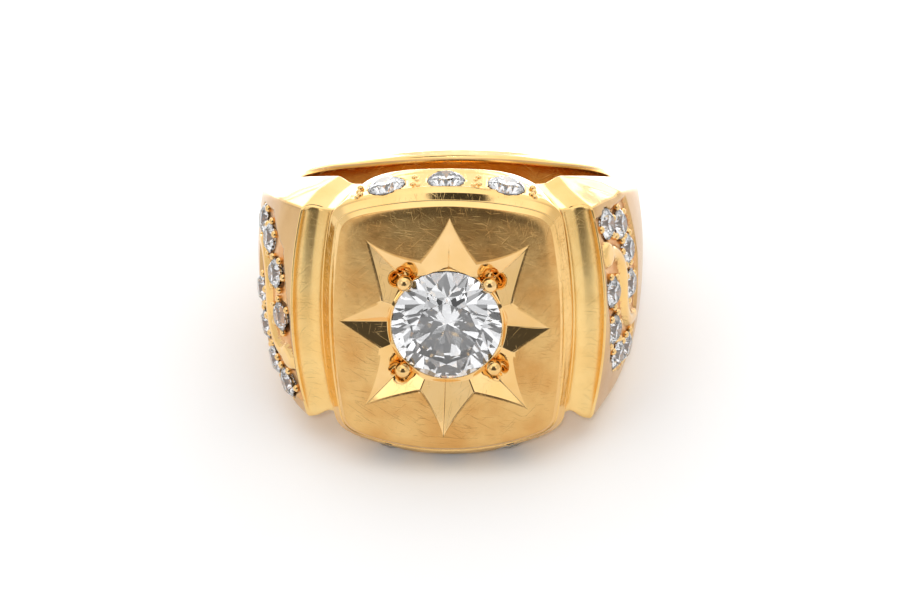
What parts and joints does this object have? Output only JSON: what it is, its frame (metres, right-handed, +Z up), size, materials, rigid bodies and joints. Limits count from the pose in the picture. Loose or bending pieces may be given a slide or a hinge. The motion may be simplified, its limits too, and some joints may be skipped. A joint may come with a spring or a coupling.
{
  "type": "ring",
  "caption": "Heavy yellow gold signet ring with an engraved star round a brilliant, stones along the head's walls and paved shoulders with a raised S ribbon.",
  "frame": {"origin": "middle of the lying ring's footprint, on the surface that it lies on", "axes": "+X across the face, from left to right as worn; -Y towards the face; +Z up. The finger hole's axis is tipped 16.5 degrees from +Z towards +Y"},
  "size_m": [0.0224, 0.0258, 0.0166],
  "materials": {
    "gold": "polished yellow gold, softly worn on the face",
    "stone": "clear, cut and polished"
  },
  "bodies": {
    "root": {"ring_body": "gold", "centre_stone": "stone", "gallery_stone_upper_1": "stone", "gallery_stone_upper_2": "stone", "gallery_stone_upper_3": "stone", "gallery_stone_lower_1": "stone", "gallery_stone_lower_2": "stone", "gallery_stone_lower_3": "stone"}
  },
  "joints": []
}
